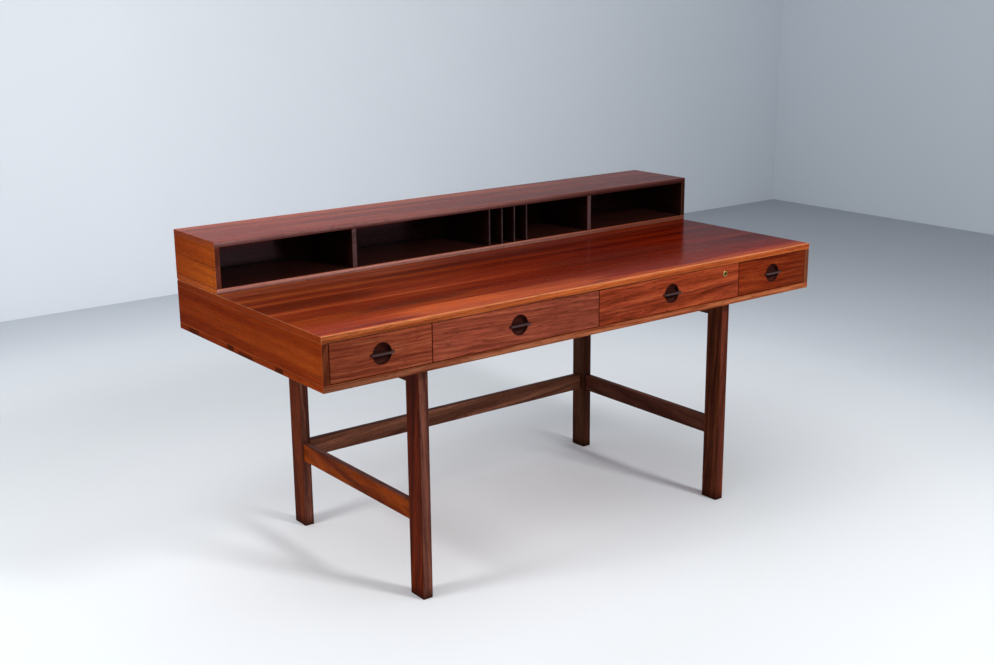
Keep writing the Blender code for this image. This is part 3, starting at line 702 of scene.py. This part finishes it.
# the plug's brass is painted dark: shade in the mouth of the lock
plugShadeBrass = brassFinish("brass_blackened",
                        {**brassLook, "bright": "#5a4526", "dull": "#33271a", "roughness": 0.38})
boardLooks = {
    "top_panel": topLook,
    "bottom_panel": bottomLook,
    "left_end_panel": endLook,
    "right_end_panel": {**endLook, "leaf": (5.8, 0.6, 4.1),
                        "faces": [faceOf("y", -1, (0.25, "#4e2616"), (0.50, "#6f3d2a"),
                                         (0.78, "#8c563c"))]},
    "back_panel": backLook,
    "left_partition": partitionLook,
    "middle_partition": partitionLook,
    "right_partition": partitionLook,
    "hutch_top": hutchTopLook,
    "hutch_bottom": hutchBottomLook,
    "hutch_left_end": hutchEndLook,
    "hutch_right_end": {**hutchEndLook, "leaf": (1.6, 8.8, 5.7),
                        "tones": [(0.25, "#1e100e"), (0.50, "#2c1815"), (0.78, "#3a221e")],
                        "faces": [faceOf("x", 1, *hutchEndFace["tones"]),
                                  faceOf("x", -1, *innerTones)]},
    "hutch_back": hutchBackLook,
    "hutch_left_divider": dividerLook,
    "hutch_right_divider": dividerLook,
    "letter_divider": {**dividerLook, "leaf": (8.1, 0.4, 6.9),
                       "faces": [faceOf("y", -1, (0.25, "#2b2022"), (0.5, "#403236"), (0.78, "#54464a"))]},
    "front_left_leg": legLook,
    "rear_left_leg": rearLeftLegLook,
    "front_right_leg": frontRightLegLook,
    "rear_right_leg": rearRightLegLook,
    # the left top rail's side is painted darker: shade under the case
    "left_top_rail": {**sideRailLook,
                      "faces": [faceOf("x", 0, (0.30, "#220b03"), (0.46, "#3c1806"), (0.58, "#502308"),
                                       (0.72, "#6a350f"))]},
    "right_top_rail": rightRailLook,
    "left_stretcher": {**sideRailLook, "leaf": (4.6, 9.7, 1.8)},
    "right_stretcher": {**rightRailLook, "leaf": (0.7, 3.6, 7.4)},
    "rear_stretcher": rearRailLook,
    "drawer_left_side": oakLook,
    "drawer_right_side": {**oakLook, "leaf": (1.2, 7.3, 8.5)},
    "drawer_back": oakBackLook,
    "drawer_bottom": oakBottomLook,
}
# the other nodes are brass, or hidden behind a smoother piece
finishes = {}
for nodeName, node in frame["nodes"].items():
    key = "_".join(word for word in nodeName.split("_") if not word.isdigit())
    if key in boardLooks and key not in finishes:
        finishes[key] = woodFinish(key, boardLooks[key])
    node.data.materials.clear()
    node.data.materials.append(finishes.get(key, brass))
print("finishes made:", len(finishes) + 1)


# drawer fronts and pulls

frontShape = {
    "edgeRound": 0.0008, "edgeSteps": 3,
    "recessSteps": 72, "mouthFlare": 0.0007, "wallDepth": 0.005, "depth": 0.013, "bowlSteps": 7,
    "recessRadius": 0.0255, "seatRoom": 0.0003, "seatMouth": 0.004,
    "paintFrom": 0.00005, "paintTo": 0.0145, "paintBesides": 0.0082, "rearFacing": 0.95,
}
pullShape = {"noseRound": 0.007, "noseSteps": 10, "edgeRound": 0.0012, "edgeSteps": 3, "seatDepth": 0.009,
             "sharp": 0.5}


def makePull(name, node):
    low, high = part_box(node)
    pull = addBlock(name, low, high)
    editOnly(pull, "EDGE")
    pick(pull, "edges", lambda e: all(v.co.y < low.y + tiny for v in e.verts)
         and abs(e.verts[0].co.x - e.verts[1].co.x) < tiny)
    bpy.ops.mesh.bevel(offset=pullShape["noseRound"], segments=pullShape["noseSteps"], affect="EDGES")
    # the nose's long edges are eased, the seat's stay square
    seatLine = high.y - pullShape["seatDepth"]
    pick(pull, "edges", lambda e: abs(e.verts[0].co.z - e.verts[1].co.z) < tiny
         and min(v.co.y for v in e.verts) < seatLine and len(e.link_faces) == 2
         and abs(e.link_faces[0].normal.z - e.link_faces[1].normal.z) > pullShape["sharp"])
    bpy.ops.mesh.bevel(offset=pullShape["edgeRound"], segments=pullShape["edgeSteps"], affect="EDGES")
    objectMode()
    return pull


# the recess as a cutter: flared mouth, straight wall, bowl
def recessCutter(middle, faceY):
    s = frontShape
    flare = s["mouthFlare"]
    tool = addRod("recess_cutter", middle, s["recessRadius"], faceY + flare, faceY + s["wallDepth"],
                  s["recessSteps"])
    editOnly(tool, "FACE")
    pick(tool, "faces", lambda f: f.normal.y > square)
    bowl = s["depth"] - s["wallDepth"]
    turns = [math.pi / 2 * i / s["bowlSteps"] for i in range(s["bowlSteps"] + 1)]
    for a, b in zip(turns[:-2], turns[1:-1]):
        bpy.ops.mesh.inset(thickness=s["recessRadius"] * (math.cos(a) - math.cos(b)))
        bpy.ops.transform.translate(value=(0, bowl * (math.sin(b) - math.sin(a)), 0))
    pick(tool, "faces", lambda f: f.normal.y < -square)
    wide = (s["recessRadius"] + flare) / s["recessRadius"]
    bpy.ops.mesh.extrude_region_move(TRANSFORM_OT_translate={"value": (0, -flare, 0)})
    bpy.ops.transform.resize(value=(wide, 1, wide), center_override=(middle.x, faceY, middle.z))
    bpy.ops.mesh.extrude_region_move(TRANSFORM_OT_translate={"value": (0, -s["wallDepth"], 0)})
    objectMode()
    return tool


def makeFront(name, node, pullNode):
    low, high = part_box(node)
    pullLow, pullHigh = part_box(pullNode)
    front = addBlock(name, low, high)
    editOnly(front, "EDGE")
    bpy.ops.mesh.select_all(action="SELECT")
    bpy.ops.mesh.bevel(offset=frontShape["edgeRound"], segments=frontShape["edgeSteps"], affect="EDGES")
    objectMode()
    middle = (pullLow + pullHigh) / 2
    combine(front, recessCutter(middle, low.y), "DIFFERENCE")
    room = Vector((frontShape["seatRoom"],) * 3)
    mouth = Vector((0, frontShape["seatMouth"], 0))
    seat = addBlock("seat_cutter", pullLow - room - mouth, pullHigh + room)
    combine(front, seat, "DIFFERENCE")
    return front


# the recess and the seat of the bar have a finish of their own, darker than the front: partly painted shade
# in the bowl
def paintRecess(front, middle, faceY):
    s = frontShape
    reach = s["recessRadius"] + s["mouthFlare"] + s["paintBesides"]
    editOnly(front, "FACE")

    def inRecess(face):
        spot = face.calc_center_median()
        return (s["paintFrom"] < spot.y - faceY < s["paintTo"] and face.normal.y < s["rearFacing"]
                and math.hypot(spot.x - middle.x, spot.z - middle.z) < reach)

    pick(front, "faces", inRecess)
    front.active_material_index = 1
    bpy.ops.object.material_slot_assign()
    objectMode()


recessFinish = woodFinish("recess", recessLook)
pullFinish = woodFinish("pull_bar", pullLook)
frontFinishes = [woodFinish("drawer_front_%d" % (i + 1), look) for i, look in enumerate(frontLooks)]

pullMaster = makePull("pull_bar_1", "drawer_1_pull")
narrowFront = makeFront("drawer_face_1", "drawer_1_front", "drawer_1_pull")
wideFront = makeFront("drawer_face_2", "drawer_2_front", "drawer_2_pull")
fronts = [narrowFront, wideFront]
pulls = [pullMaster]
for number in (2, 3, 4):
    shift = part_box("drawer_%d_pull" % number)[0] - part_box("drawer_1_pull")[0]
    pulls.append(copyPiece(pullMaster, "pull_bar_%d" % number, Matrix.Translation(shift)))
for number, source in ((3, 2), (4, 1)):
    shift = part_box("drawer_%d_front" % number)[0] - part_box("drawer_%d_front" % source)[0]
    fronts.append(copyPiece(fronts[source - 1], "drawer_face_%d" % number, Matrix.Translation(shift)))

# drawer 3 is bored for its lock
lockShape = {
    "steps": 64, "boreRadius": 0.0073, "rimHeight": 0.0018, "rimRound": 0.0013, "caseRadius": 0.0070,
    "plugRadius": 0.0045, "plugRoom": 0.0002, "mouthEase": 0.0003,
    "keywayWidth": 0.0014, "keywayHeight": 0.0050, "keywayDepth": 0.004,
    "camThick": 0.003, "camWidth": 0.008, "camSteps": 10, "camFlat": 0.00005,
    "rimSteps": 5, "easeSteps": 2, "boreOver": 0.004, "keywayOver": 0.002,
}
caseLow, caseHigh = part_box("lock_case")
lockAxis = (caseLow + caseHigh) / 2
faceLow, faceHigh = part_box("drawer_3_front")
over = lockShape["boreOver"]
combine(fronts[2], addRod("lock_bore", lockAxis, lockShape["boreRadius"], faceLow.y - over,
                          faceHigh.y + over, lockShape["steps"]), "DIFFERENCE")
for number, (front, pull) in enumerate(zip(fronts, pulls), 1):
    body = "drawer_%d" % number
    finishPiece(front, [frontFinishes[number - 1], recessFinish], body, [body + "_front"])
    pullLow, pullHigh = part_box(body + "_pull")
    paintRecess(front, (pullLow + pullHigh) / 2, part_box(body + "_front")[0].y)
    finishPiece(pull, [pullFinish], body, [body + "_pull"])
print("drawer fronts and pulls made:", len(fronts), "and", len(pulls))


# lock

# turned case: a rim on the drawer's face, a barrel through it, a bore for the plug
def makeLockCase():
    s = lockShape
    rimRadius = (caseHigh.x - caseLow.x) / 2
    boreRadius = s["plugRadius"] + s["plugRoom"]
    rimBack = caseLow.y + s["rimHeight"]
    case = addRod("lock_cup", lockAxis, rimRadius, caseLow.y, rimBack, s["steps"])
    editOnly(case, "FACE")
    pick(case, "faces", lambda f: f.normal.y > square)
    bpy.ops.mesh.inset(thickness=rimRadius - s["caseRadius"])
    bpy.ops.mesh.extrude_region_move(TRANSFORM_OT_translate={"value": (0, caseHigh.y - rimBack, 0)})
    bpy.ops.mesh.inset(thickness=s["caseRadius"] - boreRadius)
    pick(case, "edges", lambda e: all(v.co.y < caseLow.y + tiny for v in e.verts))
    bpy.ops.mesh.bevel(offset=s["rimRound"], segments=s["rimSteps"], affect="EDGES")
    pick(case, "faces", lambda f: f.normal.y < -square and len(f.verts) == s["steps"])
    bpy.ops.mesh.inset(thickness=rimRadius - s["rimRound"] - boreRadius)
    pick(case, "faces", lambda f: abs(f.normal.y) > square and len(f.verts) == s["steps"])
    bpy.ops.mesh.bridge_edge_loops()

    def onMouth(vert):
        fromAxis = math.hypot(vert.co.x - lockAxis.x, vert.co.z - lockAxis.z)
        return vert.co.y < caseLow.y + tiny and abs(fromAxis - boreRadius) < tiny

    pick(case, "edges", lambda e: all(onMouth(v) for v in e.verts))
    bpy.ops.mesh.bevel(offset=s["mouthEase"], segments=s["easeSteps"], affect="EDGES")
    objectMode()
    return case


# plug with its keyway, and the cam at its rear end
def makeLockPlug():
    s = lockShape
    low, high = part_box("lock_plug")
    plug = addRod("lock_core", lockAxis, s["plugRadius"], low.y, high.y, s["steps"])
    editOnly(plug, "EDGE")
    pick(plug, "edges", lambda e: abs(e.verts[0].co.y - e.verts[1].co.y) < tiny)
    bpy.ops.mesh.bevel(offset=s["mouthEase"], segments=s["easeSteps"], affect="EDGES")
    objectMode()
    half = Vector((s["keywayWidth"] / 2, 0, s["keywayHeight"] / 2))
    mouth = Vector((lockAxis.x, low.y, lockAxis.z))
    keyway = addBlock("keyway_cutter", mouth - half - Vector((0, s["keywayOver"], 0)),
                      mouth + half + Vector((0, s["keywayDepth"], 0)))
    combine(plug, keyway, "DIFFERENCE")
    cam = addBlock("cam_blank", (low.x, high.y - s["camThick"], lockAxis.z - s["camWidth"] / 2),
                   (lockAxis.x, high.y, lockAxis.z + s["camWidth"] / 2))
    editOnly(cam, "EDGE")
    pick(cam, "edges", lambda e: all(v.co.x < low.x + tiny for v in e.verts)
         and abs(e.verts[0].co.y - e.verts[1].co.y) > tiny)
    bpy.ops.mesh.bevel(offset=s["camWidth"] / 2 - s["camFlat"], segments=s["camSteps"], affect="EDGES")
    objectMode()
    combine(plug, cam, "UNION")
    return plug


finishPiece(makeLockCase(), [brass], "drawer_3", ["lock_case"])
finishPiece(makeLockPlug(), [plugShadeBrass], "lock", ["lock_plug"])
print("lock made")


# hinge screws

screwShape = {
    "radius": 0.0027, "proud": 0.00012, "depth": 0.0009, "steps": 28, "ease": 0.0001, "easeSteps": 2,
    "slotWidth": 0.0007, "slotDepth": 0.0006, "slotOver": 0.002, "slotAbove": 0.001,
    "firstTurn": 0.5, "nextTurn": 1.1,     # radians, how the slots happen to stand
    "row": (-1, 0, 1), "spread": 0.032, "fromLeafEdge": 0.0105, "leafGap": 0.0005,
}


# three slotted heads on the lower leaf of the left hinge
def makeScrews(leafNode, pivot):
    s = screwShape
    low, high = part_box(leafNode)
    leafZ = pivot.z - s["leafGap"] / 2
    spot = Vector(((low.x + high.x) / 2, low.y + s["fromLeafEdge"], leafZ))
    heads = []
    for i, step in enumerate(s["row"]):
        objectMode()
        bpy.ops.object.select_all(action="DESELECT")
        middle = spot + Vector((step * s["spread"], 0, (s["proud"] - s["depth"]) / 2))
        bpy.ops.mesh.primitive_cylinder_add(vertices=s["steps"], radius=s["radius"],
                                            depth=s["proud"] + s["depth"], location=middle)
        head = settle("left_lower_screws" if i == 0 else "screw_head")
        editOnly(head, "EDGE")
        pick(head, "edges", lambda e: all(v.co.z > leafZ for v in e.verts))
        bpy.ops.mesh.bevel(offset=s["ease"], segments=s["easeSteps"], affect="EDGES")
        objectMode()
        across = Vector((s["slotOver"] + s["radius"], s["slotWidth"] / 2, 0))
        top = Vector((middle.x, middle.y, leafZ + s["proud"]))
        slot = addBlock("slot_cutter", top - across - Vector((0, 0, s["slotDepth"])),
                        top + across + Vector((0, 0, s["slotAbove"])))
        turn = Matrix.Rotation(s["firstTurn"] + s["nextTurn"] * i, 4, "Z")
        slot.data.transform(Matrix.Translation(top) @ turn @ Matrix.Translation(-top))
        combine(head, slot, "DIFFERENCE")
        heads.append(head)
    useOnly(heads[0])
    for head in heads[1:]:
        head.select_set(True)
    bpy.ops.object.join()
    return heads[0]


flip = [joint for joint in frame["joints"] if joint["name"] == "hutch_flip"][0]
pivot = Vector(flip["pos_m"])
leafMiddle = sum(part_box("left_hinge_lower_leaf"), Vector()) / 2
besides = sum(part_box("right_hinge_lower_leaf"), Vector()) / 2 - leafMiddle
turnPoint = Vector((leafMiddle.x, 0, pivot.z))
toRight = Matrix.Translation(besides)
toUpper = Matrix.Translation(turnPoint) @ Matrix.Rotation(math.pi, 4, "Y") @ Matrix.Translation(-turnPoint)
leftLower = makeScrews("left_hinge_lower_leaf", pivot)
screws = [(leftLower, "desk"),
          (copyPiece(leftLower, "right_lower_screws", toRight), "desk"),
          (copyPiece(leftLower, "left_upper_screws", toUpper), "hutch"),
          (copyPiece(leftLower, "right_upper_screws", toRight @ toUpper), "hutch")]
for piece, body in screws:
    finishPiece(piece, [brass], body)
print("hinge screws made:", len(screwShape["row"]) * len(screws))


# floor and walls

roomShape = {"left": -6.5, "right": 4.70, "front": -6.5, "rear": 3.13, "height": 4.5, "margin": 0.01}
roomLook = {
    # the floor is painted paler round the desk and greyer away from it: a painted pool of light
    "floor": {"measure": "DISTANCE", "against": (-0.3, 0.3, 0.0), "from": 0.0, "to": 5.5,
              "stops": [(0.0, "#eceff1"), (0.10, "#eaedef"), (0.164, "#e1e4e7"), (0.21, "#dde1e3"),
                        (0.264, "#dfe2e5"), (0.318, "#e1e4e7"), (0.387, "#dde1e5"), (0.445, "#d2d6dc"),
                        (0.527, "#c4c9cf"), (0.655, "#b7bcc3"), (0.773, "#aeb3ba"), (1.0, "#a5aab1")]},
    # the wall is painted paler in the middle and darker towards both ends: painted light
    "wall": {"measure": "DOT_PRODUCT", "against": (1.0, 0.0, 0.0), "from": -2.6, "to": 4.7,
             "stops": [(0.0, "#d7dce1"), (0.38, "#e9edf2"), (0.62, "#e5e9ee"), (1.0, "#d0d6dd")]},
    "roughness": 0.75, "specular": 0.05, "cloud": 0.9, "cloudTones": (0.97, 1.03),
}


def paintFinish(name, look):
    mat, shader, where = newFinish(name)
    facing = addNode(mat, "SeparateXYZ", None, {0: where.outputs["Normal"]})
    cloud = addNode(mat, "TexNoise", None,
                    {"Vector": where.outputs["Object"], "Scale": 1 / look["cloud"], "Detail": 3.0})
    tone = spread(mat, cloud, 0.0, 1.0, *look["cloudTones"])
    paints = []
    for side in (look["wall"], look["floor"]):
        far = addNode(mat, "VectorMath", {"operation": side["measure"]},
                      {0: where.outputs["Object"], 1: side["against"]})
        place = spread(mat, far.outputs["Value"], side["from"], side["to"])
        paints.append(addNode(mat, "ValToRGB", {"stops": side["stops"]}, {0: place}))
    colour = blend(mat, 1.0, blend(mat, facing.outputs[2], *paints), tone, "MULTIPLY")
    links = mat.node_tree.links
    links.new(colour, shader.inputs["Base Color"])
    shader.inputs["Roughness"].default_value = look["roughness"]
    shader.inputs["Specular IOR Level"].default_value = look["specular"]
    # open from behind, so that the desk shows from outside the room too
    side = addNode(mat, "NewGeometry")
    cover = addNode(mat, "MixShader", None,
                    {0: side.outputs["Backfacing"], 1: shader, 2: addNode(mat, "BsdfTransparent")})
    links.new(cover.outputs[0], mat.node_tree.nodes["Material Output"].inputs["Surface"])
    return mat


def makeRoom():
    s = roomShape
    objectMode()
    bpy.ops.object.select_all(action="DESELECT")
    middle = ((s["left"] + s["right"]) / 2, (s["front"] + s["rear"]) / 2, 0)
    bpy.ops.mesh.primitive_plane_add(size=1, location=middle)
    bpy.context.active_object.scale = (s["right"] - s["left"], s["rear"] - s["front"], 1)
    room = settle("studio_room")
    editOnly(room, "EDGE")
    pick(room, "edges", lambda e: all(v.co.y > s["rear"] - s["margin"] for v in e.verts)
         or all(v.co.x > s["right"] - s["margin"] for v in e.verts))
    bpy.ops.mesh.extrude_region_move(TRANSFORM_OT_translate={"value": (0, 0, s["height"])})
    bpy.ops.mesh.select_all(action="SELECT")
    bpy.ops.mesh.normals_make_consistent(inside=True)
    objectMode()
    room.data.materials.append(paintFinish("studio_paint", roomLook))


makeRoom()
print("room made")


# light

lightLooks = [
    {"name": "overhead_softbox", "place": (-0.5, -0.2, 3.3), "aim": (-0.2, 0.9, 0.0), "size": (3.6, 2.4),
     "power": 42.0},
    {"name": "key_softbox", "place": (0.90, -3.10, 2.75), "aim": (-0.3, 0.1, 0.1), "size": (0.6, 0.6),
     "power": 80.0},
    {"name": "front_softbox", "place": (-0.6, -4.4, 2.5), "aim": (0.0, 0.2, 0.3), "size": (3.4, 1.8),
     "power": 10.0},
    {"name": "left_softbox", "place": (-3.0, 0.2, 2.0), "aim": (-0.9, 1.0, 0.0), "size": (0.9, 0.9),
     "power": 42.0},
]
worldLook = {"colour": "#f4f7fb", "strength": 0.46, "seen": 0.80}     # seen: brightness as a backdrop

for look in lightLooks:
    lamp = bpy.data.lights.new(look["name"], "AREA")
    lamp.shape = "RECTANGLE"
    lamp.size, lamp.size_y = look["size"]
    lamp.energy = look["power"]
    holder = bpy.data.objects.new(look["name"], lamp)
    holder.location = look["place"]
    toAim = Vector(look["aim"]) - Vector(look["place"])
    holder.rotation_euler = toAim.to_track_quat("-Z", "Y").to_euler()
    bpy.context.scene.collection.objects.link(holder)

world = bpy.data.worlds.new("studio_air")
world.use_nodes = True
bpy.context.scene.world = world
air = world.node_tree.nodes["Background"]
air.inputs["Color"].default_value = linearColour(worldLook["colour"])
rays = addNode(world, "LightPath")
seen = calc(world, "MAXIMUM", rays.outputs["Is Camera Ray"], rays.outputs["Is Glossy Ray"])
seen = calc(world, "MAXIMUM", seen, rays.outputs["Is Transmission Ray"])
level = spread(world, seen, 0.0, 1.0, worldLook["strength"], worldLook["seen"])
world.node_tree.links.new(level.outputs[0], air.inputs["Strength"])
print("light made")


# camera, solved on the desk's own corners

cameraLook = {
    "place": (-2.205693, -2.82261, 1.492764),
    "turn": 37.389, "down": 15.100, "roll": -0.527,     # degrees
    "focalPixels": 1334.2645, "imageWidth": 994, "sensorWidth": 36.0,
}
camera = bpy.data.cameras.new("photo_camera")
camera.sensor_width = cameraLook["sensorWidth"]
camera.lens = cameraLook["focalPixels"] / cameraLook["imageWidth"] * camera.sensor_width
tripod = bpy.data.objects.new("photo_camera", camera)
aim = Euler((math.radians(90 - cameraLook["down"]), 0, math.radians(-cameraLook["turn"])))
tripod.matrix_world = (Matrix.Translation(cameraLook["place"]) @ aim.to_matrix().to_4x4()
                       @ Matrix.Rotation(math.radians(cameraLook["roll"]), 4, "Z"))
bpy.context.scene.collection.objects.link(tripod)
bpy.context.scene.camera = tripod
bpy.context.scene.view_settings.view_transform = "Standard"
print("camera made")
